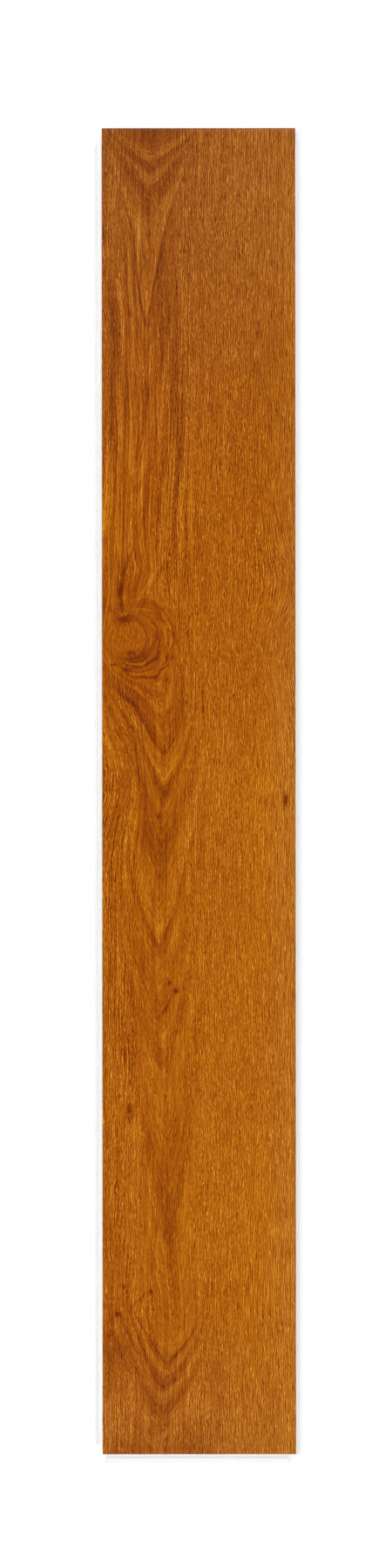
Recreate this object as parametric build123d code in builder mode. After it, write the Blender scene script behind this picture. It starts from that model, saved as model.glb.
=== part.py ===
from build123d import *
from math import radians, tan
import os

# Rigid core vinyl plank: one click-lock floor board, lying flat with its printed face up.
# The board is pressed in one piece and its four edges are milled, so it is one solid, cut here in the order of
# the mill: the long edges first (groove and lower lip on the left, tongue on the right), then the short ends
# (upturned lip at the near end, down-turned hook at the far end), then the corners.
# Millimetres. +X across the board, +Y along it, +Z up. The origin is on the underside, below the face's centre.

# Walking face and board
face_length = 1220.0
face_width = 178.0
thickness = 5.0
edge_ease = 0.4  # small bevel round the printed face

# Play between two locked boards
lock_play = 0.08

# Long edges: a tongue that is angled into a groove, and a lip with a heel that holds it there
lip_reach = 7.5  # past the joint line
lip_floor = 1.2  # thickness of the lip under the tongue
lip_tip = 0.9  # height of the lip's outer end
heel_height = 0.8  # above the lip's floor
heel_top = 1.4
heel_slope = 55.0  # degrees, on the side that holds
heel_run_out = 1.3  # slope from the heel's top to the tip
heel_round = 0.15
groove_height = 1.7
groove_depth = 2.6  # behind the joint line
groove_round = 0.4
tongue_short = 0.3  # gap left at the bottom of the groove
tongue_round = 0.6

# Short ends: a hook that drops into the channel behind an upturned lip
end_reach = 8.0  # past the joint line
channel_width = 4.2
ridge_height = 1.5  # above the channel's floor
ridge_run_out = 1.2  # bevel on the ridge's outer top corner
end_lean = 6.0  # degrees, by which the ridge leans over the channel
channel_round = 0.25
hook_ease = 0.35  # bevel on the hook's lower corners

# Corners
lip_setback = 3.0  # from the near end of the face to the long lip
lip_slant = 40.0  # degrees to the board's length, at which the long lip's ends are cut

# How far a cutter runs past the board
run_past = 5.0

half_length = face_length / 2
half_width = face_width / 2
above_board = thickness + run_past
long_travel = half_length + end_reach + run_past
end_travel = half_width + lip_reach + run_past

# Long lock, outward from the joint line and up from the underside
groove_level = lip_floor + groove_height
heel_level = lip_floor + heel_height
heel_outer = lip_reach - heel_run_out
heel_inner = heel_outer - heel_top
heel_foot = heel_inner - heel_height / tan(radians(heel_slope))
tongue_reach = groove_depth - tongue_short
tongue_top = groove_level - lock_play
tongue_bottom = lip_floor + lock_play
notch_level = heel_level + lock_play
tongue_undercut = lip_reach + lock_play

# End lock, milled to the same floor as the long lip
ridge_level = lip_floor + ridge_height
ridge_lean = ridge_height * tan(radians(end_lean))
ridge_tip = ridge_level - ridge_run_out
hook_bottom = lip_floor + lock_play
hook_inner = -channel_width + lock_play
recess_level = ridge_level + lock_play
hook_undercut = end_reach + lock_play
nip_size = lip_reach + end_reach + run_past


def edge_plane(outward: Vector, joint: float) -> Plane:
    """Section across one edge: local x runs outward from the joint line, where two faces meet, and local y up."""
    return Plane(origin=outward * joint, x_dir=outward, z_dir=outward.cross(Vector(0, 0, 1)))


groove_edge = edge_plane(Vector(-1, 0, 0), half_width)
tongue_edge = edge_plane(Vector(1, 0, 0), half_width)
lip_end = edge_plane(Vector(0, -1, 0), half_length)
hook_end = edge_plane(Vector(0, 1, 0), half_length)

with BuildPart() as plank:
    # Pressed board, with what the lips and the tongue need past the face
    with BuildSketch():
        with Locations((-half_width - lip_reach, -half_length - end_reach)):
            Rectangle(
                face_width + lip_reach + tongue_reach,
                face_length + end_reach,
                align=(Align.MIN, Align.MIN),
            )
    extrude(amount=thickness)

    # Left long edge: what stands above the lip, and the groove behind the joint line
    with BuildSketch(groove_edge) as groove_waste:
        with BuildLine():
            Polyline(
                (0, above_board),
                (0, groove_level),
                (-groove_depth, groove_level),
                (-groove_depth, lip_floor),
                (heel_foot, lip_floor),
                (heel_inner, heel_level),
                (heel_outer, heel_level),
                (lip_reach, lip_tip),
                (lip_reach + run_past, lip_tip),
                (lip_reach + run_past, above_board),
                close=True,
            )
        make_face()
        groove_corners = groove_waste.vertices().group_by(Axis.X)[0]
        fillet(groove_corners, min(groove_round, 0.45 * groove_height))
        heel_corners = groove_waste.vertices().filter_by_position(Axis.Y, heel_level, heel_level)
        fillet(heel_corners, min(heel_round, 0.45 * heel_top))
    extrude(amount=long_travel, both=True, mode=Mode.SUBTRACT)

    # Right long edge: what stands above the tongue
    with BuildSketch(tongue_edge):
        with Locations((0, tongue_top)):
            Rectangle(tongue_reach + run_past, above_board, align=(Align.MIN, Align.MIN))
    extrude(amount=long_travel, both=True, mode=Mode.SUBTRACT)

    # Right long edge: the undercut and the notch that take the next board's lip and heel
    with BuildSketch(tongue_edge):
        with BuildLine():
            Polyline(
                (-tongue_undercut, -run_past),
                (-tongue_undercut, lip_tip + lock_play),
                (-heel_outer - lock_play, notch_level),
                (-heel_inner + lock_play, notch_level),
                (-heel_foot + lock_play, tongue_bottom),
                (tongue_reach + run_past, tongue_bottom),
                (tongue_reach + run_past, -run_past),
                close=True,
            )
        make_face()
    extrude(amount=long_travel, both=True, mode=Mode.SUBTRACT)

    # Tongue's nose, rounded so that it can be angled in
    nose = plank.faces().sort_by(Axis.X)[-1]
    fillet(nose.edges().filter_by(Axis.Y), min(tongue_round, 0.45 * (tongue_top - tongue_bottom)))

    # Near end: what stands above the upturned lip and its channel
    with BuildSketch(lip_end) as channel_waste:
        with BuildLine():
            Polyline(
                (0, above_board),
                (0, lip_floor),
                (channel_width, lip_floor),
                (channel_width - ridge_lean, ridge_level),
                (end_reach - ridge_run_out, ridge_level),
                (end_reach, ridge_tip),
                (end_reach + run_past, ridge_tip),
                (end_reach + run_past, above_board),
                close=True,
            )
        make_face()
        channel_corners = channel_waste.vertices().filter_by_position(Axis.Y, lip_floor, lip_floor)
        fillet(channel_corners.sort_by(Axis.X)[:2], channel_round)
    extrude(amount=end_travel, both=True, mode=Mode.SUBTRACT)

    # Far end: the hook is what is left between the joint line and the recess for the next board's ridge
    with BuildSketch(hook_end) as hook_waste:
        with BuildLine():
            Polyline(
                (0, above_board),
                (0, hook_bottom),
                (hook_inner, hook_bottom),
                (hook_inner + ridge_lean, recess_level),
                (-end_reach + ridge_run_out - lock_play, recess_level),
                (-hook_undercut, ridge_tip + lock_play),
                (-hook_undercut, -run_past),
                (run_past, -run_past),
                (run_past, above_board),
                close=True,
            )
        make_face()
        hook_corners = hook_waste.vertices().filter_by_position(Axis.Y, hook_bottom, hook_bottom)
        chamfer(hook_corners.sort_by(Axis.X)[-2:], hook_ease)
    extrude(amount=end_travel, both=True, mode=Mode.SUBTRACT)

    # Corners: past these points the groove's floor, the tongue and the end lip are nipped off, below the face
    corners = (
        (-half_width + groove_depth, half_length - hook_undercut, Align.MAX, Align.MIN),
        (half_width, half_length - hook_undercut, Align.MIN, Align.MIN),
        (-half_width + groove_depth, -half_length, Align.MAX, Align.MAX),
        (half_width - tongue_undercut, -half_length, Align.MIN, Align.MAX),
    )
    with BuildSketch():
        for corner_x, corner_y, side, end in corners:
            with Locations((corner_x, corner_y)):
                Rectangle(nip_size, nip_size, align=(side, end))
    extrude(amount=groove_level, mode=Mode.SUBTRACT)

    # The long lip is cut off at a slant at both of its ends
    slant_run = (lip_reach + run_past) / tan(radians(lip_slant))
    lip_past = -half_width - lip_reach - run_past
    with BuildSketch():
        for toward, lip_stop in ((1, half_length - hook_undercut), (-1, half_length - lip_setback)):
            with BuildLine():
                Polyline(
                    (-half_width, toward * lip_stop),
                    (lip_past, toward * (lip_stop - slant_run)),
                    (lip_past, toward * long_travel),
                    (-half_width, toward * long_travel),
                    close=True,
                )
            make_face()
    extrude(amount=groove_level, mode=Mode.SUBTRACT)

    # Printed face, with its edges eased
    face = plank.faces().sort_by(Axis.Z)[-1]
    chamfer(face.edges(), edge_ease)

plank.part.label = "plank"

os.makedirs("parts", exist_ok=True)
export_step(plank.part, "parts/plank.step")
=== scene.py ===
import math

import bmesh
import bpy
from mathutils import Matrix, Vector


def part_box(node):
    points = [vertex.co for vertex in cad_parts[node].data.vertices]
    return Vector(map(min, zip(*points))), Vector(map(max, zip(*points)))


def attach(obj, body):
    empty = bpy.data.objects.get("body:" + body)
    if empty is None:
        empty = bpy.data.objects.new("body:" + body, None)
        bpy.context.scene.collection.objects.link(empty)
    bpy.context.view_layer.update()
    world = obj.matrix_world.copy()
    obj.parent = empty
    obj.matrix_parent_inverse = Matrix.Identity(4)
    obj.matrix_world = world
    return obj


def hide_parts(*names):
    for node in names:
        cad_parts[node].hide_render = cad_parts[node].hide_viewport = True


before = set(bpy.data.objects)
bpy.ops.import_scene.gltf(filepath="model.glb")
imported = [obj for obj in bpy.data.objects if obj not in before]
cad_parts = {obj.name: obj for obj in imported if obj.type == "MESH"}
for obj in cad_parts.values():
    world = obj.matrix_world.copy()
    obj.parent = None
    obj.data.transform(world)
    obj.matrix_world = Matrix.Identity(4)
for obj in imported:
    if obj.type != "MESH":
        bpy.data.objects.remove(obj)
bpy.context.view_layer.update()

# The board: limestone-filled vinyl, pressed into one rigid sheet, sawn to planks and milled on all four
# edges into a click lock. Its edges and its underside show the pale body of the board. The walking face is
# laid out as a fine grid, so that the oak figure can be pressed into it.
MM = 0.001
EDGE_EASE = 0.4 * MM  # bevel round the walking face
FACE_COLUMNS = 256
FACE_ROWS = 376
SAME_POINT = 0.001 * MM
SEAM_GAP = 0.01 * MM  # closes the seam between the grid and the bevel
FLAT_WITHIN = math.radians(0.5)  # faces that meet flatter than this are one face

board_low, board_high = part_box("plank")
THICKNESS = board_high.z - board_low.z


def largest_upward(build):
    """The largest face that looks up, which is the walking face."""
    return max(build.faces, key=lambda face: face.normal.z * face.calc_area())


board_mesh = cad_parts["plank"].data.copy()
board_mesh.materials.clear()
board = bmesh.new()
board.from_mesh(board_mesh)
bmesh.ops.remove_doubles(board, verts=board.verts, dist=SAME_POINT)
bmesh.ops.dissolve_limit(
    board, angle_limit=FLAT_WITHIN, verts=board.verts, edges=board.edges, delimit={"NORMAL"}
)
walking_face = largest_upward(board)
corners = [v.co.copy() for v in walking_face.verts]
face_low = Vector((min(c.x for c in corners), min(c.y for c in corners), board_high.z))
face_high = Vector((max(c.x for c in corners), max(c.y for c in corners), board_high.z))
for edge in list(walking_face.edges):
    start, stop = (v.co for v in edge.verts)
    runs_across = abs(start.x - stop.x) > abs(start.y - stop.y)
    cuts = (FACE_COLUMNS if runs_across else FACE_ROWS) - 1
    bmesh.ops.subdivide_edges(board, edges=[edge], cuts=cuts)
bmesh.ops.delete(board, geom=[largest_upward(board)], context="FACES_ONLY")
bmesh.ops.triangulate(board, faces=[f for f in board.faces if len(f.verts) > 4])

grid = []
for row in range(FACE_ROWS + 1):
    y = face_low.y + (face_high.y - face_low.y) * row / FACE_ROWS
    for column in range(FACE_COLUMNS + 1):
        x = face_low.x + (face_high.x - face_low.x) * column / FACE_COLUMNS
        grid.append(board.verts.new((x, y, board_high.z)))
stride = FACE_COLUMNS + 1
for row in range(FACE_ROWS):
    for column in range(FACE_COLUMNS):
        first = row * stride + column
        board.faces.new((grid[first], grid[first + 1], grid[first + stride + 1], grid[first + stride]))
bmesh.ops.remove_doubles(board, verts=board.verts, dist=SEAM_GAP)
board.to_mesh(board_mesh)
board.free()

plank = bpy.data.objects.new("embossed_plank", board_mesh)
bpy.context.scene.collection.objects.link(plank)

# The body of the board: chalk and vinyl, milled to its edges and pressed smooth below. It is nearly white,
# with a faint grey speckle of the filler, and the cutters leave fine lines that run along each edge.
FILLER_FINENESS = 2.4  # specks to the millimetre
FILLER_DETAIL = 3.0
CUTTER_ACROSS = 0.9  # cutter lines to the millimetre, across the board, along it and up
CUTTER_ALONG = 0.02
CUTTER_UP = 14.0
CUTTER_DETAIL = 2.0
CUTTER_SHARE = 0.45
CORE_STEPS = ((0.2, (242, 240, 236)), (0.42, (251, 250, 248)), (0.75, (254, 254, 252)))
CORE_ROUGHNESS = 0.5
FILLER_ROUGHNESS = 0.3
CORE_SHINE = 0.3
CORE_BUMP = 0.35
CORE_BUMP_DEPTH = 0.05 * MM


def link(tree, value, socket):
    """Joins another node's output to a socket, or sets the socket to a plain number."""
    if isinstance(value, (int, float)):
        socket.default_value = value
    else:
        tree.links.new(value, socket)


def calc(tree, operation, *values):
    """The result of one step of arithmetic."""
    node = tree.nodes.new("ShaderNodeMath")
    node.operation = operation
    for value, socket in zip(values, node.inputs):
        link(tree, value, socket)
    return node.outputs[0]


def speckle(tree, x, y, z, detail=0.0):
    """Soft noise, with specks about one unit wide."""
    place = tree.nodes.new("ShaderNodeCombineXYZ")
    for value, socket in zip((x, y, z), place.inputs):
        link(tree, value, socket)
    noise = tree.nodes.new("ShaderNodeTexNoise")
    noise.inputs["Scale"].default_value = 1.0
    noise.inputs["Detail"].default_value = detail
    tree.links.new(place.outputs[0], noise.inputs["Vector"])
    return noise.outputs[0]


def colour_steps(tree, amount, steps):
    """The colour for an amount, from steps of a place and a display colour."""
    ramp = tree.nodes.new("ShaderNodeValToRGB")
    stops = ramp.color_ramp.elements
    while len(stops) < len(steps):
        stops.new(0.5)
    for stop, (place, colour) in zip(stops, steps):
        stop.position = place
        linear = [((c / 255 + 0.055) / 1.055) ** 2.4 if c > 10 else c / 255 / 12.92 for c in colour]
        stop.color = (*linear, 1)
    tree.links.new(amount, ramp.inputs["Fac"])
    return ramp.outputs["Color"]


def millimetres(tree, place):
    """A place's x, y and z in millimetres."""
    split = tree.nodes.new("ShaderNodeSeparateXYZ")
    tree.links.new(place, split.inputs[0])
    return [calc(tree, "MULTIPLY", axis, 1 / MM) for axis in split.outputs]


def bumpy(tree, shader, height, strength, distance):
    """Shades a surface as if it rose and fell with a height."""
    bump = tree.nodes.new("ShaderNodeBump")
    bump.inputs["Strength"].default_value = strength
    bump.inputs["Distance"].default_value = distance
    tree.links.new(height, bump.inputs["Height"])
    tree.links.new(bump.outputs["Normal"], shader.inputs["Normal"])


pale_core = bpy.data.materials.new("pale_core")
pale_core.use_nodes = True
core = pale_core.node_tree
core_shader = core.nodes["Principled BSDF"]
core_x, core_y, core_z = millimetres(core, core.nodes.new("ShaderNodeTexCoord").outputs["Object"])
filler = speckle(
    core,
    calc(core, "MULTIPLY", core_x, FILLER_FINENESS),
    calc(core, "MULTIPLY", core_y, FILLER_FINENESS),
    core_z,
    FILLER_DETAIL,
)
cutter_lines = speckle(
    core,
    calc(core, "MULTIPLY", core_x, CUTTER_ACROSS),
    calc(core, "MULTIPLY", core_y, CUTTER_ALONG),
    calc(core, "MULTIPLY", core_z, CUTTER_UP),
    CUTTER_DETAIL,
)
filler_tone = calc(core, "MULTIPLY", filler, 1 - CUTTER_SHARE)
core_tone = calc(core, "MULTIPLY_ADD", cutter_lines, CUTTER_SHARE, filler_tone)
core.links.new(colour_steps(core, core_tone, CORE_STEPS), core_shader.inputs["Base Color"])
core_roughness = calc(core, "MULTIPLY_ADD", filler, FILLER_ROUGHNESS, CORE_ROUGHNESS)
core.links.new(core_roughness, core_shader.inputs["Roughness"])
core_shader.inputs["Specular IOR Level"].default_value = CORE_SHINE
bumpy(core, core_shader, core_tone, CORE_BUMP, CORE_BUMP_DEPTH)

# The print: a film with a warm oak figure under a clear wear layer, as of one flat-sawn board. Tall pointed
# arches stand one above the other left of the middle, and the grain flows round knots and runs straight on
# the right. Rows and columns are millimetres on the face from its centre, +Y towards the hooked end.
FACE_SPAN = round((face_high.y - face_low.y + 2 * EDGE_EASE) / MM, 3)
# The line through the arches' tips: row, column. It stays within AXIS_REACH of the middle, on the left
ARCH_AXIS = (
    (610, -44), (423, -50), (300, -58), (170, -64), (60, -33),
    (-100, -37), (-250, -34), (-394, -27), (-610, -36),
)
AXIS_REACH = 100.0
# How fast the arches open: row, spread that is gained there with each millimetre down
ARCH_WIDTHS = (
    (610, 120), (592, 70), (575, 34), (545, 20), (520, 8), (500, 4.5), (430, 4), (300, 5), (200, 8),
    (130, 22), (20, 20), (0, 14), (-280, 14), (-340, 7), (-440, 9), (-470, 22), (-610, 30),
)
# Tone of the arch that has its tip at a row: row, tone, where 0.5 is the ground
ARCH_TONES = (
    (610, 0.36), (597, 0.40), (589, 0.50), (582, 0.62), (575, 0.38), (566, 0.46), (560, 0.62), (551, 0.38),
    (538, 0.40), (520, 0.53), (434, 0.68), (425, 0.34), (412, 0.52), (110, 0.50), (92, 0.50), (86, 0.66),
    (79, 0.44), (73, 0.46), (67, 0.65), (61, 0.42), (50, 0.44), (37, 0.32), (28, 0.48), (15, 0.50),
    (9, 0.68), (-1, 0.32), (-12, 0.38), (-26, 0.52), (-60, 0.36), (-90, 0.50), (-136, 0.62), (-142, 0.36),
    (-165, 0.52), (-210, 0.38), (-228, 0.52), (-252, 0.38), (-280, 0.52), (-394, 0.36), (-440, 0.52),
    (-500, 0.52), (-522, 0.56), (-527, 0.34), (-538, 0.56), (-547, 0.34), (-560, 0.58), (-574, 0.36),
    (-590, 0.54), (-610, 0.5),
)
# An arch's limbs: slope beside the tip, curve and flare further out
LIMB_SLOPE = 24.0
LIMB_CURVE = 0.5
LIMB_FLARE = 1 / 5000
TIP_ROUNDNESS = 0.6
# Stretches where the arches are blunt: centre, half-length, roundness
BLUNT_ARCHES = ((90.0, 22.0, 60.0), (-520.0, 34.0, 14.0))
# Knots and what they push aside: centre, half-width, half-length, push, darkness
KNOTS = (
    (-64.0, 141.3, 21.0, 30.0, 22.0, 0.0),
    (79.5, -7.0, 2.3, 6.5, 4.5, 0.55),
    (-21.0, -183.3, 3.0, 2.8, 3.0, 0.66),
    (-64.0, -294.6, 2.8, 7.0, 4.0, 0.66),
    (-75.2, -481.0, 3.2, 2.6, 2.0, 0.52),
    (-44.0, -480.0, 24.0, 40.0, 13.0, 0.0),
)
# Stretches where the grain leans: centre, half-width, half-length, lean to the right going up
LEANS = (
    (-52.0, 190.0, 12.0, 26.0, 0.40),
    (-74.0, 55.0, 24.0, 60.0, -0.36),
    (84.0, 158.0, 26.0, 52.0, 0.42),
)
# Slow wander of the fibre: width, length, seed, sway. It is looser on the left than on the right
DRIFTS = ((60.0, 170.0, 3.7, 12.0), (17.0, 60.0, 9.2, 4.5), (5.0, 30.0, 4.4, 0.8))
LOOSE_AT_MIDDLE = 0.62
LOOSE_FALL = 1 / 80
LOOSE_LEAST = 0.3


def held(tree, value, low, high):
    """A value kept between two limits."""
    return calc(tree, "MAXIMUM", calc(tree, "MINIMUM", value, high), low)


def smooth_curve(tree, amount, points, handle):
    """What a curve through points gives for an amount."""
    node = tree.nodes.new("ShaderNodeFloatCurve")
    line = node.mapping.curves[0]
    line.points[0].location = points[0]
    line.points[1].location = points[-1]
    for across, up in points[1:-1]:
        line.points.new(across, up)
    for point in line.points:
        point.handle_type = handle
    node.mapping.update()
    tree.links.new(amount, node.inputs["Value"])
    return node.outputs["Value"]


def square_from(tree, x, y, centre_x, centre_y, half_width, half_length):
    """How far across from a place, and the square of the distance from it, in its own half-sizes."""
    across = calc(tree, "MULTIPLY_ADD", x, 1 / half_width, -centre_x / half_width)
    along = calc(tree, "MULTIPLY_ADD", y, 1 / half_length, -centre_y / half_length)
    return across, calc(tree, "MULTIPLY_ADD", across, across, calc(tree, "MULTIPLY", along, along))


def hump_over(tree, x, y, *place):
    """One in the middle of a place, falling off softly round it."""
    return calc(tree, "POWER", 1 / math.e, square_from(tree, x, y, *place)[1])


def strokes(tree, across, along, width, length, seed, detail=0.0):
    """Noise about nought, drawn out to strokes of a width and a length."""
    noise = speckle(
        tree, calc(tree, "DIVIDE", across, width), calc(tree, "DIVIDE", along, length), seed, detail
    )
    return calc(tree, "SUBTRACT", noise, 0.5)


def share_down(row):
    """How far down the face a row lies, from 0 at the far end to 1 at the near end."""
    return 0.5 - row / FACE_SPAN


def oak_figure(tree, x, y):
    """The fibre, the arches and the knots' dark marks, for the print and for the emboss."""
    fibre = x
    marks = 0.0
    for *place, push, darkness in KNOTS:
        across, square = square_from(tree, x, y, *place)
        hump = calc(tree, "POWER", 1 / math.e, square)
        fibre = calc(tree, "MULTIPLY_ADD", calc(tree, "MULTIPLY", across, hump), -push, fibre)
        if darkness:
            marks = calc(tree, "MULTIPLY_ADD", hump, darkness, marks)
    for *place, lean in LEANS:
        shear = calc(tree, "MULTIPLY", calc(tree, "SUBTRACT", y, place[1]), hump_over(tree, x, y, *place))
        fibre = calc(tree, "MULTIPLY_ADD", shear, -lean, fibre)
    loose = held(tree, calc(tree, "MULTIPLY_ADD", x, -LOOSE_FALL, LOOSE_AT_MIDDLE), LOOSE_LEAST, 1.0)
    for width, length, seed, sway in DRIFTS:
        drift = calc(tree, "MULTIPLY", strokes(tree, x, y, width, length, seed), loose)
        fibre = calc(tree, "MULTIPLY_ADD", drift, sway, fibre)

    down = calc(tree, "MULTIPLY_ADD", y, -1 / FACE_SPAN, share_down(0))
    axis_points = [(share_down(row), (column + AXIS_REACH) / AXIS_REACH) for row, column in ARCH_AXIS]
    axis = calc(tree, "MULTIPLY_ADD", smooth_curve(tree, down, axis_points, "AUTO"), AXIS_REACH, -AXIS_REACH)
    gained = 0.0
    gains = [(0.0, 0.0)]
    for (row, rate), (next_row, next_rate) in zip(ARCH_WIDTHS, ARCH_WIDTHS[1:]):
        gained = gained + (row - next_row) * (rate + next_rate) / 2
        gains.append((share_down(next_row), gained))
    rise_points = [(place, gain / gained) for place, gain in gains]
    rise = calc(tree, "MULTIPLY", smooth_curve(tree, down, rise_points, "VECTOR"), gained)
    offset = calc(tree, "SUBTRACT", fibre, axis)
    blunt = TIP_ROUNDNESS
    for centre_y, half_length, roundness in BLUNT_ARCHES:
        hump = hump_over(tree, x, y, 0.0, centre_y, FACE_SPAN, half_length)
        blunt = calc(tree, "MULTIPLY_ADD", hump, roundness, blunt)
    reach = calc(tree, "SQRT", calc(tree, "MULTIPLY_ADD", offset, offset, blunt))
    reach_square = calc(tree, "MULTIPLY", reach, reach)
    limb = calc(tree, "MULTIPLY_ADD", reach_square, LIMB_FLARE, LIMB_CURVE)
    spread = calc(tree, "MULTIPLY_ADD", reach_square, limb, rise)
    spread = calc(tree, "MULTIPLY_ADD", reach, LIMB_SLOPE, spread)
    tip_points = [(gain, place) for place, gain in rise_points]
    tip = smooth_curve(tree, calc(tree, "DIVIDE", spread, gained), tip_points, "VECTOR")
    tone_points = [(share_down(row), tone) for row, tone in ARCH_TONES]
    arches = smooth_curve(tree, tip, tone_points, "AUTO")
    return {
        "fibre": fibre, "offset": offset, "reach": reach, "spread": spread, "arches": arches, "marks": marks
    }


oak_print = bpy.data.materials.new("oak_print")
oak_print.use_nodes = True
oak = oak_print.node_tree
oak_shader = oak.nodes["Principled BSDF"]
face_x, face_y = millimetres(oak, oak.nodes.new("ShaderNodeTexCoord").outputs["Object"])[:2]
figure = oak_figure(oak, face_x, face_y)
fibre = figure["fibre"]

# The grain of the print: broken rows of pores, short ticks and longer dashes along the fibre, with streaks
# on the left. In the arches it follows their limbs. A layer of strokes has a width, a length, a seed and, in
# places, a finer detail, and its weight says how strongly it shows.
GROUND_TONE = 0.5
TICKS = (0.6, 3.0, 1.3)
DASHES = (0.65, 18.0, 8.1)
LINES = (0.75, 130.0, 3.1)
LINE_WEIGHT = 0.3
# Ticks and dashes weigh differently in the long grain of the right side
LONG_GRAIN_COLUMNS = (35.0, 75.0)
LONG_GRAIN_WANDER = 90.0
TICK_WEIGHTS = (0.7, 0.4)
DASH_WEIGHTS = (0.47, 0.69)
# Rows of pores, which wander to the side and break off
PORE_SPACING = 1.65
PORE_SWAYS = (3.0, 12.0, 5.1, 1.0)
PORE_SWAY = 2.2
PORE_BREAKS = (2.0, 3.2, 9.4)
PORE_BREAK = 1.4
PORE_SHARE = 0.55
PORE_WEIGHT = 0.40
# Strokes that follow the arches, with widths in units of spread. The two limbs of an arch have their own
ARCH_TICKS = (14.0, 5.0)
ARCH_TICK_SEED = 1.3
ARCH_TICK_WEIGHT = 0.35
ARCH_LINES = (46.0, 90.0)
ARCH_LINE_SEED = 7.7
ARCH_LINE_DETAIL = 1.0
ARCH_LINE_SHIFT = 0.35
ARCH_LINE_WEIGHTS = (0.62, 0.12)  # outside the calm place, and in it
CALM_PLACE = (-38.0, -478.0, 24.0, 34.0)
LIMB_LIMIT = 12.0
LIMB_SHIFT = 0.5
STRAIGHT_IN_ARCHES = 0.6
ARCH_GRAIN_REACH = (34.0, 10.0)
ARCH_TONE_REACH = (62.0, 8.0)
# Streaks of the left side, strongest in the upper stretch
STREAKS = (4.5, 130.0, 2.2, 1.0)
STREAK_WEIGHT = 0.8
THIN_STREAKS = (1.6, 100.0, 7.9)
THIN_STREAK_WEIGHT = 0.75
STREAK_COLUMNS = (20.0, -30.0)
STREAK_SHARES = (0.09, 0.54)
UPPER_STRETCH = (0.0, 300.0, 1000.0, 110.0)
STRETCH_SHARES = (0.9, 2.0)
PATCHES = (60.0, 240.0, 6.4)


def between(tree, value, start, stop, low=0.0, high=1.0, ease="SMOOTHSTEP"):
    """Goes from low to high as a value goes from start to stop."""
    change = tree.nodes.new("ShaderNodeMapRange")
    change.interpolation_type = ease
    change.inputs["From Min"].default_value = start
    change.inputs["From Max"].default_value = stop
    change.inputs["To Min"].default_value = low
    change.inputs["To Max"].default_value = high
    tree.links.new(value, change.inputs["Value"])
    return change.outputs["Result"]


def part_way(tree, share, start, stop):
    """What lies a share of the way from start to stop."""
    return calc(tree, "MULTIPLY_ADD", share, stop - start, start)


def laid_over(tree, share, under, over, kind="FLOAT"):
    """One tone or colour laid over another by a share."""
    mix = tree.nodes.new("ShaderNodeMix")
    mix.data_type = kind
    for value, socket in ((share, "Factor"), (under, "A"), (over, "B")):
        tree.links.new(value, mix.inputs[socket])
    return mix.outputs["Result"]


limb_side = calc(oak, "MULTIPLY", held(oak, figure["offset"], -LIMB_LIMIT, LIMB_LIMIT), LIMB_SHIFT)
in_arches = between(oak, figure["reach"], *ARCH_GRAIN_REACH)

ticks = strokes(oak, fibre, face_y, *TICKS)
dashes = strokes(oak, fibre, face_y, *DASHES)
lines = strokes(oak, fibre, face_y, *LINES)
pore_sways = strokes(oak, fibre, face_y, *PORE_SWAYS)
pore_rows = calc(oak, "MULTIPLY_ADD", pore_sways, PORE_SWAY, calc(oak, "DIVIDE", fibre, PORE_SPACING))
pores = calc(oak, "SINE", calc(oak, "MULTIPLY", pore_rows, 2 * math.pi))
broken = calc(oak, "MULTIPLY_ADD", strokes(oak, fibre, face_y, *PORE_BREAKS), PORE_BREAK, PORE_SHARE)
pores = calc(oak, "MULTIPLY", pores, calc(oak, "MAXIMUM", broken, 0.0))
arch_tick_seed = calc(oak, "ADD", limb_side, ARCH_TICK_SEED)
arch_ticks = strokes(oak, figure["spread"], face_y, *ARCH_TICKS, arch_tick_seed)
arch_line_seed = calc(oak, "ADD", calc(oak, "MULTIPLY", limb_side, ARCH_LINE_SHIFT), ARCH_LINE_SEED)
arch_lines = strokes(oak, figure["spread"], face_y, *ARCH_LINES, arch_line_seed, ARCH_LINE_DETAIL)
streaks = strokes(oak, fibre, face_y, *STREAKS)
thin_streaks = strokes(oak, fibre, face_y, *THIN_STREAKS)
patches = strokes(oak, face_x, face_y, *PATCHES)

long_grain = calc(oak, "MULTIPLY_ADD", patches, LONG_GRAIN_WANDER, face_x)
long_grain = between(oak, long_grain, *LONG_GRAIN_COLUMNS)
tick_weight = part_way(oak, long_grain, *TICK_WEIGHTS)
dash_weight = part_way(oak, long_grain, *DASH_WEIGHTS)
straight = calc(oak, "MULTIPLY_ADD", dashes, dash_weight, calc(oak, "MULTIPLY", ticks, tick_weight))
straight = calc(oak, "MULTIPLY_ADD", lines, LINE_WEIGHT, straight)
straight = calc(oak, "MULTIPLY_ADD", pores, PORE_WEIGHT, straight)
arch_line_weight = part_way(oak, hump_over(oak, face_x, face_y, *CALM_PLACE), *ARCH_LINE_WEIGHTS)
arched = calc(oak, "MULTIPLY", arch_ticks, ARCH_TICK_WEIGHT)
arched = calc(oak, "MULTIPLY_ADD", arch_lines, arch_line_weight, arched)
arched = calc(oak, "MULTIPLY_ADD", straight, STRAIGHT_IN_ARCHES, arched)
grain = laid_over(oak, in_arches, straight, arched)
streak_share = between(oak, face_x, *STREAK_COLUMNS, *STREAK_SHARES, "LINEAR")
stretch_share = part_way(oak, hump_over(oak, face_x, face_y, *UPPER_STRETCH), *STRETCH_SHARES)
streaked = calc(oak, "MULTIPLY", streaks, STREAK_WEIGHT)
streaked = calc(oak, "MULTIPLY_ADD", thin_streaks, THIN_STREAK_WEIGHT, streaked)
streaked = calc(oak, "MULTIPLY", calc(oak, "MULTIPLY", streaked, streak_share), stretch_share)
tone = calc(oak, "ADD", streaked, calc(oak, "ADD", grain, GROUND_TONE))
arch_share = between(oak, figure["reach"], *ARCH_TONE_REACH)
arch_tone = calc(oak, "MULTIPLY", calc(oak, "SUBTRACT", figure["arches"], GROUND_TONE), arch_share)
tone = calc(oak, "ADD", tone, arch_tone)
tone = calc(oak, "SUBTRACT", tone, figure["marks"])

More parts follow.
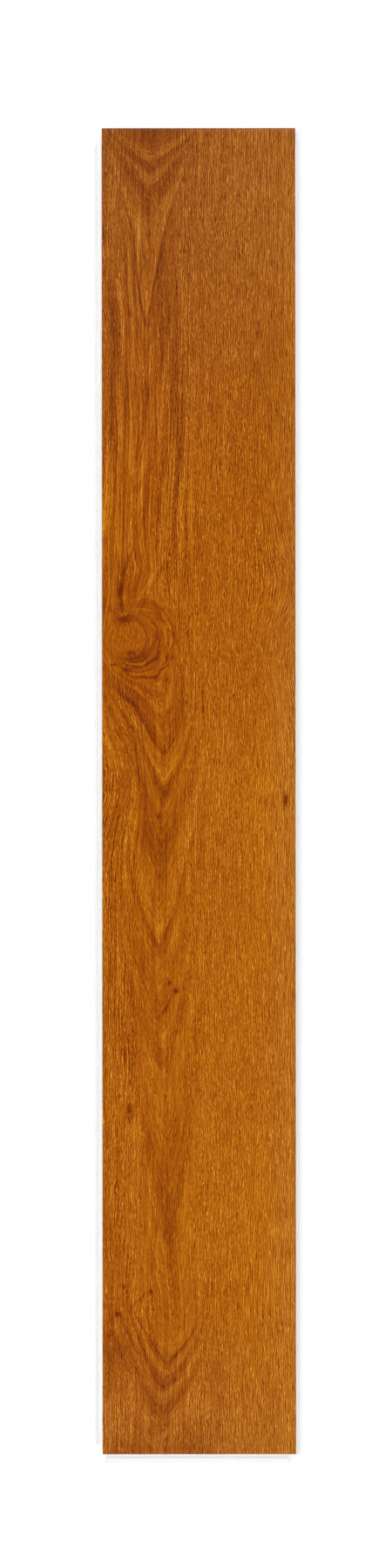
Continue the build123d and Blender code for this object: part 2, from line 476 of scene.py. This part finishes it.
# The eye of the print: a round of end grain where a branch left the trunk, with rings in it, and arcs that
# bend round it under a darker brow. Rings and arcs are measured in shares of the eye and of the brow.
EYE = (-66.5, 140.5, 19.0, 19.5)  # centre, half-width, half-length
BROW = (-50.5, 139.0, 28.0, 35.0)
WOBBLE = (9.0, 9.0, 5.5, 1.0)
EYE_SWAY = 0.20
BROW_SWAY = 0.22
NARROWEST_ARC = 0.05
ARC_GRAIN = (0.07, 22.0, 2.9, 1.0)
ARC_GRAIN_WEIGHT = 0.9
ARC_PORES = (0.028, 9.0, 6.3)
ARC_PORE_WEIGHT = 0.8
ARC_TICK_WEIGHT = 0.5
ARC_GROUND = 0.48
ARC_LINE = (0.62, 0.07)  # place of the darkest arc, and its width
ARC_LINE_DARKNESS = 0.12
EYE_GRAIN = (0.045, 9.0, 4.9, 1.0)
EYE_GRAIN_WEIGHT = 0.75
EYE_PORES = (0.7, 4.0, 3.3)
EYE_PORE_WEIGHT = 0.8
EYE_GROUND = 0.52
BROW_FADE = (1.30, 0.85)
EYE_FADE = (1.20, 0.80)
# The lines round the eye and along the brow: width, columns where they begin, darkness
EYE_EDGE_WIDTH = 0.09
EYE_EDGE_COLUMNS = (-84.0, -66.0)
EYE_EDGE_DARKNESS = 0.18
BROW_EDGE_WIDTH = 0.06
BROW_EDGE_COLUMNS = (-64.0, -50.0)
BROW_EDGE_ROWS = (135.0, 160.0)
BROW_EDGE_DARKNESS = (0.07, 0.21)  # below those rows, and above them


def rings_round(tree, x, y, place, wobble, sway):
    """Distance from a place in wobbly rings, 1 at its edge."""
    ring = calc(tree, "SQRT", square_from(tree, x, y, *place)[1])
    return calc(tree, "MULTIPLY_ADD", calc(tree, "MULTIPLY", wobble, ring), sway, ring)


def thin_line(tree, value, middle, width):
    """One where a value is at the middle, falling off within a width."""
    away = calc(tree, "MULTIPLY_ADD", value, 1 / width, -middle / width)
    return calc(tree, "POWER", 1 / math.e, calc(tree, "MULTIPLY", away, away))


wobble = strokes(oak, face_x, face_y, *WOBBLE)
eye_ring = rings_round(oak, face_x, face_y, EYE, wobble, EYE_SWAY)
brow_ring = rings_round(oak, face_x, face_y, BROW, wobble, BROW_SWAY)
past_eye = calc(oak, "MAXIMUM", calc(oak, "SUBTRACT", eye_ring, 1.0), 0.0)
arc_width = calc(oak, "ADD", past_eye, calc(oak, "SUBTRACT", 1.0, brow_ring))
arc = calc(oak, "DIVIDE", past_eye, calc(oak, "MAXIMUM", arc_width, NARROWEST_ARC))
arc_grain = strokes(oak, arc, face_y, *ARC_GRAIN)
arc_pores = strokes(oak, arc, face_y, *ARC_PORES)
eye_grain = strokes(oak, eye_ring, face_y, *EYE_GRAIN)
arc_tone = calc(oak, "MULTIPLY_ADD", ticks, ARC_TICK_WEIGHT, ARC_GROUND)
arc_tone = calc(oak, "MULTIPLY_ADD", arc_grain, ARC_GRAIN_WEIGHT, arc_tone)
arc_tone = calc(oak, "MULTIPLY_ADD", arc_pores, ARC_PORE_WEIGHT, arc_tone)
arc_tone = calc(oak, "MULTIPLY_ADD", thin_line(oak, arc, *ARC_LINE), -ARC_LINE_DARKNESS, arc_tone)
eye_grain = calc(oak, "MULTIPLY", eye_grain, calc(oak, "MULTIPLY", eye_ring, eye_ring))
eye_pores = strokes(oak, face_x, face_y, *EYE_PORES)
eye_tone = calc(oak, "MULTIPLY_ADD", eye_pores, EYE_PORE_WEIGHT, EYE_GROUND)
eye_tone = calc(oak, "MULTIPLY_ADD", eye_grain, EYE_GRAIN_WEIGHT, eye_tone)
tone = laid_over(oak, between(oak, brow_ring, *BROW_FADE), tone, arc_tone)
tone = laid_over(oak, between(oak, eye_ring, *EYE_FADE), tone, eye_tone)
eye_edge = thin_line(oak, eye_ring, 1.0, EYE_EDGE_WIDTH)
eye_edge = calc(oak, "MULTIPLY", eye_edge, between(oak, face_x, *EYE_EDGE_COLUMNS))
brow_edge = thin_line(oak, brow_ring, 1.0, BROW_EDGE_WIDTH)
brow_edge = calc(oak, "MULTIPLY", brow_edge, between(oak, face_x, *BROW_EDGE_COLUMNS))
brow_darkness = between(oak, face_y, *BROW_EDGE_ROWS, *BROW_EDGE_DARKNESS)
tone = calc(oak, "MULTIPLY_ADD", eye_edge, -EYE_EDGE_DARKNESS, tone)
tone = calc(oak, "SUBTRACT", tone, calc(oak, "MULTIPLY", brow_edge, brow_darkness))

# Flecks and shades of the print: dark and pale flecks by the knots, along the arches and at the foot, and
# broad soft shades where the oak that was printed was paler or darker. Both have ragged edges, as wood has.
RAGGED_ACROSS = (3.5, 8.0, 6.6, 1.0)
RAGGED_ALONG = (3.0, 6.0, 2.7, 1.0)
RAGGED_BY = 2.0
# Flecks and streaks: centre, half-width, half-length, lean to the right going up, darkness
FLECKS = (
    (-63.3, 439.3, 1.1, 4.0, 0.1, 0.35),
    (-68.1, 203.8, 1.5, 11.0, 0.29, 0.36),
    (-72.0, 185.3, 2.4, 6.5, 0.1, 0.50),
    (-70.8, 170.0, 1.4, 10.0, -0.1, 0.34),
    (-67.5, 157.3, 6.5, 3.0, 0.0, 0.40),
    (-70.4, 162.0, 0.6, 3.5, 0.0, -0.34),
    (-67.6, 161.3, 0.6, 3.5, 0.1, -0.30),
    (-63.0, 163.5, 1.8, 6.0, 1.0, 0.20),
    (-79.5, 165.5, 1.8, 6.0, -1.2, 0.18),
    (-60.0, 183.0, 6.0, 14.0, 0.3, 0.10),
    (-47.0, 190.0, 1.6, 24.0, 0.58, -0.20),
    (-43.0, 187.0, 1.2, 24.0, 0.52, 0.17),
    (-42.0, 182.0, 6.0, 10.0, 0.4, -0.06),
    (-47.0, 123.0, 11.0, 7.0, 0.0, 0.18),
    (-39.5, 140.0, 3.6, 18.0, -0.1, 0.10),
    (-52.0, 163.5, 9.0, 2.2, 0.0, 0.14),
    (-58.0, 121.0, 8.0, 3.0, 0.0, 0.14),
    (-36.0, 104.0, 12.0, 3.0, 0.0, 0.18),
    (-70.0, 104.0, 3.0, 5.0, -1.4, 0.16),
    (-62.5, 127.6, 4.0, 2.2, 0.0, 0.38),
    (-78.0, 116.6, 3.2, 1.3, 0.0, 0.42),
    (-67.0, 111.4, 3.0, 2.2, 0.0, 0.34),
    (-45.7, 54.0, 1.7, 27.0, -0.55, 0.24),
    (-58.8, 21.8, 1.5, 48.0, -0.45, 0.15),
    (-21.0, 37.0, 1.3, 26.0, 0.50, -0.12),
    (-33.0, 3.0, 7.0, 9.0, 0.0, 0.12),
    (-68.0, 86.0, 2.4, 9.0, -1.2, 0.22),
    (-36.9, -23.0, 1.5, 1.8, 0.0, 0.55),
    (13.3, -29.4, 0.9, 5.0, 0.4, 0.26),
    (-27.0, -176.4, 1.8, 1.8, 0.0, 0.62),
    (-20.4, -182.0, 1.0, 1.0, 0.0, -0.30),
    (-30.6, -200.0, 1.6, 9.0, 0.6, 0.24),
    (-69.6, -455.9, 1.4, 2.4, 0.0, 0.60),
    (-44.4, -460.3, 1.4, 2.4, 0.0, 0.60),
    (-80.8, -487.7, 3.0, 3.0, 0.0, 0.22),
    (-54.0, -466.5, 1.2, 8.0, 1.03, 0.28),
    (-62.6, -475.0, 1.4, 5.0, 0.0, 0.24),
    (-45.5, -491.0, 1.0, 16.0, -0.30, 0.20),
    (-46.6, -502.0, 1.1, 24.0, -0.61, 0.30),
    (-50.5, -504.0, 0.9, 22.0, -0.50, -0.26),
    (-54.3, -505.5, 1.0, 22.0, -0.40, 0.38),
    (-58.4, -505.0, 0.9, 20.0, -0.42, -0.24),
    (-62.0, -506.0, 1.1, 20.0, -0.45, 0.32),
    (-23.6, -520.6, 1.5, 7.0, 0.83, 0.24),
    (-38.5, -543.4, 2.0, 6.0, -1.23, 0.18),
    (-24.2, -543.4, 2.2, 6.0, 1.53, 0.18),
    (-70.0, -520.0, 1.4, 22.0, -0.42, 0.18),
    (-13.5, -486.0, 1.0, 36.0, 0.0, 0.16),
    (-82.0, -500.0, 6.0, 4.0, 0.0, 0.14),
    (-79.0, 415.0, 2.0, 45.0, 0.0, 0.20),
    (-19.4, 323.0, 1.8, 70.0, 0.0, 0.20),
    (-68.0, 327.0, 1.5, 40.0, 0.0, 0.16),
    (3.7, 78.0, 1.3, 22.0, 0.0, 0.18),
    (-27.4, -394.0, 7.0, 30.0, 0.0, 0.12),
    (-78.0, -517.0, 13.0, 15.0, 0.0, 0.12),
    (-86.0, 232.6, 3.0, 8.0, 0.0, 0.16),
)
# Broad shades: centre, half-width, half-length, darkness
SHADES = (
    (-74.0, 548.0, 14.0, 50.0, -0.08),
    (-50.0, 488.0, 7.0, 24.0, 0.17),
    (-33.0, 475.0, 14.0, 48.0, 0.09),
    (-30.0, 415.0, 14.0, 34.0, 0.08),
    (72.0, 400.0, 14.0, 90.0, 0.09),
    (50.0, 350.0, 8.0, 90.0, 0.08),
    (42.0, 320.0, 60.0, 90.0, 0.02),
    (-41.0, 310.0, 10.0, 50.0, -0.13),
    (-66.0, 232.0, 24.0, 22.0, -0.10),
    (72.0, 225.0, 14.0, 56.0, 0.07),
    (-68.0, 108.0, 16.0, 22.0, 0.07),
    (-46.0, 88.0, 16.0, 13.0, 0.09),
    (-50.0, 80.0, 30.0, 60.0, 0.03),
    (80.0, 78.0, 8.0, 24.0, -0.05),
    (4.0, 32.0, 15.0, 42.0, -0.07),
    (20.0, -2.0, 10.0, 40.0, -0.09),
    (62.0, -10.0, 28.0, 60.0, -0.06),
    (-58.0, -55.0, 12.0, 34.0, 0.10),
    (-37.0, -35.0, 11.0, 28.0, 0.08),
    (-22.0, -68.0, 8.0, 26.0, 0.08),
    (-40.0, -98.0, 20.0, 16.0, 0.12),
    (-33.0, -130.0, 14.0, 32.0, 0.05),
    (-46.0, -186.0, 10.0, 16.0, -0.10),
    (-21.0, -201.0, 7.0, 10.0, 0.10),
    (-62.0, -292.0, 22.0, 40.0, -0.05),
    (-46.0, -302.0, 9.0, 16.0, -0.09),
    (-7.0, -292.0, 7.0, 32.0, -0.08),
    (-33.0, -470.0, 14.0, 42.0, 0.07),
    (42.0, -480.0, 40.0, 60.0, 0.05),
    (-52.0, -520.0, 34.0, 60.0, 0.03),
    (-76.0, -584.0, 14.0, 34.0, -0.28),
    (6.0, -582.0, 12.0, 32.0, -0.18),
)
# Slow change of the tone with each millimetre to the right and up, and at the ends and the right edge
TONE_RIGHT = 0.0004
TONE_UP = -0.00009
FAR_ROWS = (240.0, 590.0)
FAR_COLUMNS = (40.0, -40.0)
FAR_TONE = -0.06
NEAR_ROWS = (-470.0, -600.0)
NEAR_TONE = -0.05
RIGHT_COLUMNS = (52.0, 88.0)
RIGHT_TONE = 0.04

ragged_x = calc(oak, "MULTIPLY_ADD", strokes(oak, face_x, face_y, *RAGGED_ACROSS), RAGGED_BY, face_x)
ragged_y = calc(oak, "MULTIPLY_ADD", strokes(oak, face_x, face_y, *RAGGED_ALONG), RAGGED_BY, face_y)
for centre_x, centre_y, half_width, half_length, lean, darkness in FLECKS:
    upright = calc(oak, "MULTIPLY_ADD", ragged_y, -lean, ragged_x) if lean else ragged_x
    upright_centre = centre_x - lean * centre_y
    fleck = hump_over(oak, upright, ragged_y, upright_centre, centre_y, half_width, half_length)
    tone = calc(oak, "MULTIPLY_ADD", fleck, -darkness, tone)
for *place, darkness in SHADES:
    tone = calc(oak, "MULTIPLY_ADD", hump_over(oak, ragged_x, ragged_y, *place), -darkness, tone)
slow_change = calc(oak, "MULTIPLY_ADD", face_x, TONE_RIGHT, calc(oak, "MULTIPLY", face_y, TONE_UP))
tone = calc(oak, "ADD", tone, slow_change)
far_end = between(oak, face_y, *FAR_ROWS)
far_left = calc(oak, "MULTIPLY", far_end, between(oak, face_x, *FAR_COLUMNS))
near_end = between(oak, face_y, *NEAR_ROWS)
right_edge = between(oak, face_x, *RIGHT_COLUMNS)
for place, change in ((far_left, FAR_TONE), (near_end, NEAR_TONE), (right_edge, RIGHT_TONE)):
    tone = calc(oak, "MULTIPLY_ADD", place, change, tone)

# The colours of the film: golden oak that turns russet in places, and umber towards the ends and the right
# edge. The clear wear layer over it is satin, a little duller in the pores.
GOLDEN = (
    (0.0, (112, 44, 0)), (0.2, (143, 65, 0)), (0.35, (160, 81, 0)), (0.5, (178, 98, 0)),
    (0.68, (197, 118, 7)), (1.0, (231, 157, 44))
)
RUSSET = (
    (0.0, (106, 39, 0)), (0.2, (135, 57, 0)), (0.35, (151, 70, 0)), (0.5, (168, 86, 0)),
    (0.68, (187, 106, 8)), (1.0, (223, 145, 44))
)
UMBER = (
    (0.0, (101, 45, 9)), (0.2, (128, 61, 12)), (0.35, (145, 75, 18)), (0.5, (161, 90, 25)),
    (0.68, (181, 110, 41)), (1.0, (220, 150, 76))
)
GOLDEN_AT_MIDDLE = 0.5
GOLDEN_RIGHT = 0.004  # gained with each millimetre to the right
GOLDEN_PATCHES = 1.6
UMBER_NEAR = 0.45
UMBER_FAR = 0.8
UMBER_RIGHT = 0.4
FILM_ROUGHNESS = 0.42
PORE_ROUGHNESS = -0.15
FILM_SHINE = 0.12
FILM_BUMP = 0.4
FILM_BUMP_DEPTH = 0.1 * MM

golden, russet, umber = (colour_steps(oak, tone, steps) for steps in (GOLDEN, RUSSET, UMBER))
golden_share = calc(oak, "MULTIPLY_ADD", face_x, GOLDEN_RIGHT, GOLDEN_AT_MIDDLE)
golden_share = calc(oak, "MULTIPLY_ADD", patches, GOLDEN_PATCHES, golden_share)
umber_share = calc(oak, "MULTIPLY_ADD", near_end, UMBER_NEAR, calc(oak, "MULTIPLY", far_end, UMBER_FAR))
umber_share = calc(oak, "MAXIMUM", umber_share, calc(oak, "MULTIPLY", right_edge, UMBER_RIGHT))
film = laid_over(oak, golden_share, russet, golden, "RGBA")
oak.links.new(laid_over(oak, umber_share, film, umber, "RGBA"), oak_shader.inputs["Base Color"])
film_roughness = calc(oak, "MULTIPLY_ADD", grain, PORE_ROUGHNESS, FILM_ROUGHNESS)
oak.links.new(film_roughness, oak_shader.inputs["Roughness"])
oak_shader.inputs["Specular IOR Level"].default_value = FILM_SHINE
bumpy(oak, oak_shader, grain, FILM_BUMP, FILM_BUMP_DEPTH)

# The emboss: a steel plate presses furrows into the warm wear layer, along the fibre and the arches of the
# print, a tenth of a millimetre deep at most. They run out towards the eased edges, which are printed too.
RELIEF_DEPTH = 0.09 * MM
RELIEF_RUN_OUT = 3.0 * MM
FURROWS = (2.4, 30.0, 8.1, 1.0)
FURROW_WEIGHT = -1.1
FURROW_GROUND = 0.45
ARCH_RELIEF = 0.5
PRINT_UPWARD = 0.3  # least upward share of a printed face's normal
SHARP_EDGE = math.radians(30)

press = bpy.data.node_groups.new("press_grain", "GeometryNodeTree")
press.interface.new_socket("Geometry", in_out="INPUT", socket_type="NodeSocketGeometry")
press_inputs = {}
for label, size in (
    ("Relief Depth", RELIEF_DEPTH),
    ("Run Out", RELIEF_RUN_OUT),
    ("Face Level", board_high.z),
    ("Face Half Width", (face_high.x - face_low.x) / 2),
    ("Face Half Length", (face_high.y - face_low.y) / 2),
    ("Edge Ease", EDGE_EASE),
):
    socket = press.interface.new_socket(label, in_out="INPUT", socket_type="NodeSocketFloat")
    press_inputs[socket.identifier] = size
press.interface.new_socket("Geometry", in_out="OUTPUT", socket_type="NodeSocketGeometry")
given = press.nodes.new("NodeGroupInput").outputs
where = press.nodes.new("GeometryNodeInputPosition").outputs[0]
where_split = press.nodes.new("ShaderNodeSeparateXYZ")
press.links.new(where, where_split.inputs[0])
where_x, where_y, where_z = where_split.outputs
relief_x, relief_y = millimetres(press, where)[:2]
relief = oak_figure(press, relief_x, relief_y)
furrows = strokes(press, relief["fibre"], relief_y, *FURROWS)
hollow = calc(press, "MULTIPLY_ADD", furrows, FURROW_WEIGHT, FURROW_GROUND)
arch_hollow = calc(press, "SUBTRACT", GROUND_TONE, relief["arches"])
hollow = calc(press, "MULTIPLY_ADD", arch_hollow, ARCH_RELIEF, hollow)
hollow = held(press, calc(press, "ADD", hollow, relief["marks"]), 0.0, 1.0)
from_side = calc(press, "SUBTRACT", given["Face Half Width"], calc(press, "ABSOLUTE", where_x))
from_end = calc(press, "SUBTRACT", given["Face Half Length"], calc(press, "ABSOLUTE", where_y))
inside = calc(press, "DIVIDE", calc(press, "MINIMUM", from_side, from_end), given["Run Out"])
hollow = calc(press, "MULTIPLY", hollow, held(press, inside, 0.0, 1.0))
down_by = press.nodes.new("ShaderNodeCombineXYZ")
depth = calc(press, "MULTIPLY", hollow, given["Relief Depth"])
press.links.new(calc(press, "MULTIPLY", depth, -1.0), down_by.inputs["Z"])
on_face = calc(press, "GREATER_THAN", where_z, calc(press, "SUBTRACT", given["Face Level"], SAME_POINT))
pressed_in = press.nodes.new("GeometryNodeSetPosition")
press.links.new(given["Geometry"], pressed_in.inputs["Geometry"])
press.links.new(on_face, pressed_in.inputs["Selection"])
press.links.new(down_by.outputs[0], pressed_in.inputs["Offset"])
real = press.nodes.new("GeometryNodeRealizeInstances")
press.links.new(pressed_in.outputs[0], real.inputs[0])
bare = press.nodes.new("GeometryNodeSetMaterial")
bare.inputs["Material"].default_value = pale_core
press.links.new(real.outputs[0], bare.inputs["Geometry"])
facing_split = press.nodes.new("ShaderNodeSeparateXYZ")
press.links.new(press.nodes.new("GeometryNodeInputNormal").outputs[0], facing_split.inputs[0])
above = calc(press, "GREATER_THAN", where_z, calc(press, "SUBTRACT", given["Face Level"], given["Edge Ease"]))
upward = calc(press, "GREATER_THAN", facing_split.outputs["Z"], PRINT_UPWARD)
printed = press.nodes.new("GeometryNodeSetMaterial")
printed.inputs["Material"].default_value = oak_print
press.links.new(bare.outputs[0], printed.inputs["Geometry"])
press.links.new(calc(press, "MULTIPLY", above, upward), printed.inputs["Selection"])
press.links.new(printed.outputs[0], press.nodes.new("NodeGroupOutput").inputs[0])

plate = plank.modifiers.new("press_grain", "NODES")
plate.node_group = press
for identifier, size in press_inputs.items():
    plate[identifier] = size
embossed = bpy.data.meshes.new_from_object(plank.evaluated_get(bpy.context.evaluated_depsgraph_get()))
plank.modifiers.remove(plate)
plank.data = embossed
embossed.shade_smooth()
embossed.set_sharp_from_angle(angle=SHARP_EDGE)

# The finish, laid out on a square sheet: the film is cut along the middle of the face, and its two halves
# lie side by side, so that most of the sheet goes to the print. The bare body has the strip beside them.
FACE_SHARE = 0.88
SHEET_MARGIN = 0.003
ISLAND_ANGLE = math.radians(60)
ISLAND_GAP = 0.01

oak_slot = embossed.materials.find("oak_print")
bpy.context.view_layer.objects.active = plank
plank.select_set(True)
embossed.uv_layers.active = embossed.uv_layers.new(name="OFBake")
for f in embossed.polygons:
    f.select = f.material_index != oak_slot
bpy.ops.object.mode_set(mode="EDIT")
bpy.ops.uv.smart_project(angle_limit=ISLAND_ANGLE, island_margin=ISLAND_GAP, scale_to_bounds=True)
bpy.ops.object.mode_set(mode="OBJECT")
plank.select_set(False)
sheet = embossed.uv_layers["OFBake"].data
printed_low = face_low - Vector((EDGE_EASE, EDGE_EASE, 0))
printed_size = face_high - face_low + 2 * Vector((EDGE_EASE, EDGE_EASE, 0))
film_width = FACE_SHARE - 4 * SHEET_MARGIN
body_width = 1 - FACE_SHARE - 2 * SHEET_MARGIN
for f in embossed.polygons:
    right_half = f.center.x > 0
    for corner in f.loop_indices:
        if f.material_index != oak_slot:
            u, v = sheet[corner].uv
            sheet[corner].uv = (FACE_SHARE + SHEET_MARGIN + u * body_width, v)
            continue
        spot = embossed.vertices[embossed.loops[corner].vertex_index].co
        across = (spot.x - printed_low.x) / printed_size.x
        along = (spot.y - printed_low.y) / printed_size.y
        half = (across - 0.5 if right_half else across) * film_width
        half_start = FACE_SHARE / 2 + SHEET_MARGIN if right_half else SHEET_MARGIN
        sheet[corner].uv = (half_start + half, SHEET_MARGIN + along * (1 - 2 * SHEET_MARGIN))

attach(plank, "root")
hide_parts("plank")

# Floor and backdrop: a wide round floor that ends at a round wall, both painted white. To the lens they are
# white, and the floor keeps the plank's soft shadow. The wall lets the light of the room pass.
FLOOR_REACH = 60.0
WALL_HEIGHT = 24.0
ROUND_SIDES = 96
FLOOR_GAP = 0.05 * MM
FLOOR_PAINT = (0.8, 0.8, 0.8, 1)
# How far the floor is lifted to white, from beside the plank to out in the room: distances, strengths
LIFT_DISTANCES = (0.9, 4.0)
LIFT_STRENGTHS = (0.27, 1.0)


def set_up(name, build, height):
    """Makes a finished build an object of the scene, at a height."""
    mesh = bpy.data.meshes.new(name)
    build.to_mesh(mesh)
    build.free()
    mesh.transform(Matrix.Translation((0, 0, height)))
    piece = bpy.data.objects.new(name, mesh)
    bpy.context.scene.collection.objects.link(piece)
    return piece


def seen_directly(tree):
    """One where the lens sees a surface, straight or in a reflection, and nought elsewhere."""
    path = tree.nodes.new("ShaderNodeLightPath").outputs
    seen = calc(tree, "MAXIMUM", path["Is Camera Ray"], path["Is Glossy Ray"])
    return calc(tree, "MAXIMUM", seen, path["Is Transmission Ray"])


def empty_material(name):
    """A material that has no nodes yet."""
    material = bpy.data.materials.new(name)
    material.use_nodes = True
    material.node_tree.nodes.clear()
    return material


floor_build = bmesh.new()
bmesh.ops.create_circle(floor_build, cap_ends=True, radius=FLOOR_REACH, segments=ROUND_SIDES)
floor = set_up("floor", floor_build, board_low.z - FLOOR_GAP)

wall_build = bmesh.new()
bmesh.ops.create_cone(
    wall_build,
    cap_ends=False,
    radius1=FLOOR_REACH,
    radius2=FLOOR_REACH,
    depth=WALL_HEIGHT,
    segments=ROUND_SIDES,
)
bmesh.ops.reverse_faces(wall_build, faces=wall_build.faces)
wall = set_up("wall", wall_build, WALL_HEIGHT / 2)

white_floor = empty_material("white_floor")
tree = white_floor.node_tree
paint = tree.nodes.new("ShaderNodeBsdfDiffuse")
paint.inputs["Color"].default_value = FLOOR_PAINT
glow = tree.nodes.new("ShaderNodeEmission")
away = tree.nodes.new("ShaderNodeVectorMath")
away.operation = "LENGTH"
tree.links.new(tree.nodes.new("ShaderNodeTexCoord").outputs["Object"], away.inputs[0])
lift = between(tree, away.outputs["Value"], *LIFT_DISTANCES, *LIFT_STRENGTHS, "LINEAR")
tree.links.new(calc(tree, "MULTIPLY", lift, seen_directly(tree)), glow.inputs["Strength"])
both = tree.nodes.new("ShaderNodeAddShader")
tree.links.new(paint.outputs[0], both.inputs[0])
tree.links.new(glow.outputs[0], both.inputs[1])
tree.links.new(both.outputs[0], tree.nodes.new("ShaderNodeOutputMaterial").inputs["Surface"])
floor.data.materials.append(white_floor)

white_wall = empty_material("white_wall")
tree = white_wall.node_tree
glow = tree.nodes.new("ShaderNodeEmission")
pane = tree.nodes.new("ShaderNodeMixShader")
tree.links.new(seen_directly(tree), pane.inputs["Fac"])
tree.links.new(tree.nodes.new("ShaderNodeBsdfTransparent").outputs[0], pane.inputs[1])
tree.links.new(glow.outputs[0], pane.inputs[2])
tree.links.new(pane.outputs[0], tree.nodes.new("ShaderNodeOutputMaterial").inputs["Surface"])
wall.data.materials.append(white_wall)

# Light: four wide soft boxes stand round the plank and lean in over it. The right one stands higher and is
# weaker, so that the pale lip on the left lies in little shade. The ceiling is dim, so that the satin face
# shows no glare from straight over it.
BOX_REACH = 2.7
BOX_RISE = 1.9
BOX_WIDTH = 2.4
BOX_HEIGHT = 1.6
# The ceiling's level, from low on the sky to high on it: how far up, strengths
SKY_UP = (0.45, 0.85)
SKY_STRENGTHS = (0.5, 0.12)

# Soft boxes: name, place, power in watts
for name, x, y, z, power in (
    ("box_left", -BOX_REACH, 0, BOX_RISE, 46),
    ("box_right", BOX_RISE, 0, BOX_REACH, 14),
    ("box_far", 0, BOX_REACH, BOX_RISE, 43),
    ("box_near", 0, -BOX_REACH, BOX_RISE, 39),
):
    lamp = bpy.data.lights.new(name, "AREA")
    lamp.shape = "RECTANGLE"
    lamp.size = BOX_WIDTH
    lamp.size_y = BOX_HEIGHT
    lamp.energy = power
    soft_box = bpy.data.objects.new(name, lamp)
    soft_box.location = (x, y, z)
    soft_box.rotation_euler = (Vector((0, 0, 0)) - soft_box.location).to_track_quat("-Z", "Y").to_euler()
    bpy.context.scene.collection.objects.link(soft_box)

world = bpy.data.worlds.new("dim_ceiling")
world.use_nodes = True
sky = world.node_tree
sky_split = sky.nodes.new("ShaderNodeSeparateXYZ")
sky.links.new(sky.nodes.new("ShaderNodeTexCoord").outputs["Generated"], sky_split.inputs[0])
sky_level = between(sky, sky_split.outputs["Z"], *SKY_UP, *SKY_STRENGTHS, "LINEAR")
sky.nodes["Background"].inputs["Color"].default_value = (1, 1, 1, 1)
sky.links.new(sky_level, sky.nodes["Background"].inputs["Strength"])
bpy.context.scene.world = world

# Camera: straight above the plank with a long lens, the far end up, turned as little as the photograph is.
# The face has the length and the place in the frame that it has in the photograph.
IMAGE_WIDTH = 450
IMAGE_HEIGHT = 1800
PIXELS_PER_METRE = 1248.0
FACE_CENTRE_PIXEL = (228.3, 908.3)
TURN = math.radians(0.04)
LENS = 85
SENSOR = 36
FARTHEST_SEEN = 100

camera_data = bpy.data.cameras.new("camera")
camera_data.lens = LENS
camera_data.sensor_width = SENSOR
camera_data.clip_end = FARTHEST_SEEN
camera = bpy.data.objects.new("camera", camera_data)
camera.location = (
    (IMAGE_WIDTH / 2 - FACE_CENTRE_PIXEL[0]) / PIXELS_PER_METRE,
    (FACE_CENTRE_PIXEL[1] - IMAGE_HEIGHT / 2) / PIXELS_PER_METRE,
    THICKNESS + IMAGE_HEIGHT / PIXELS_PER_METRE * LENS / SENSOR,
)
camera.rotation_euler = (0, 0, -TURN)
bpy.context.scene.collection.objects.link(camera)
bpy.context.scene.camera = camera

bpy.context.scene.view_settings.view_transform = "Standard"
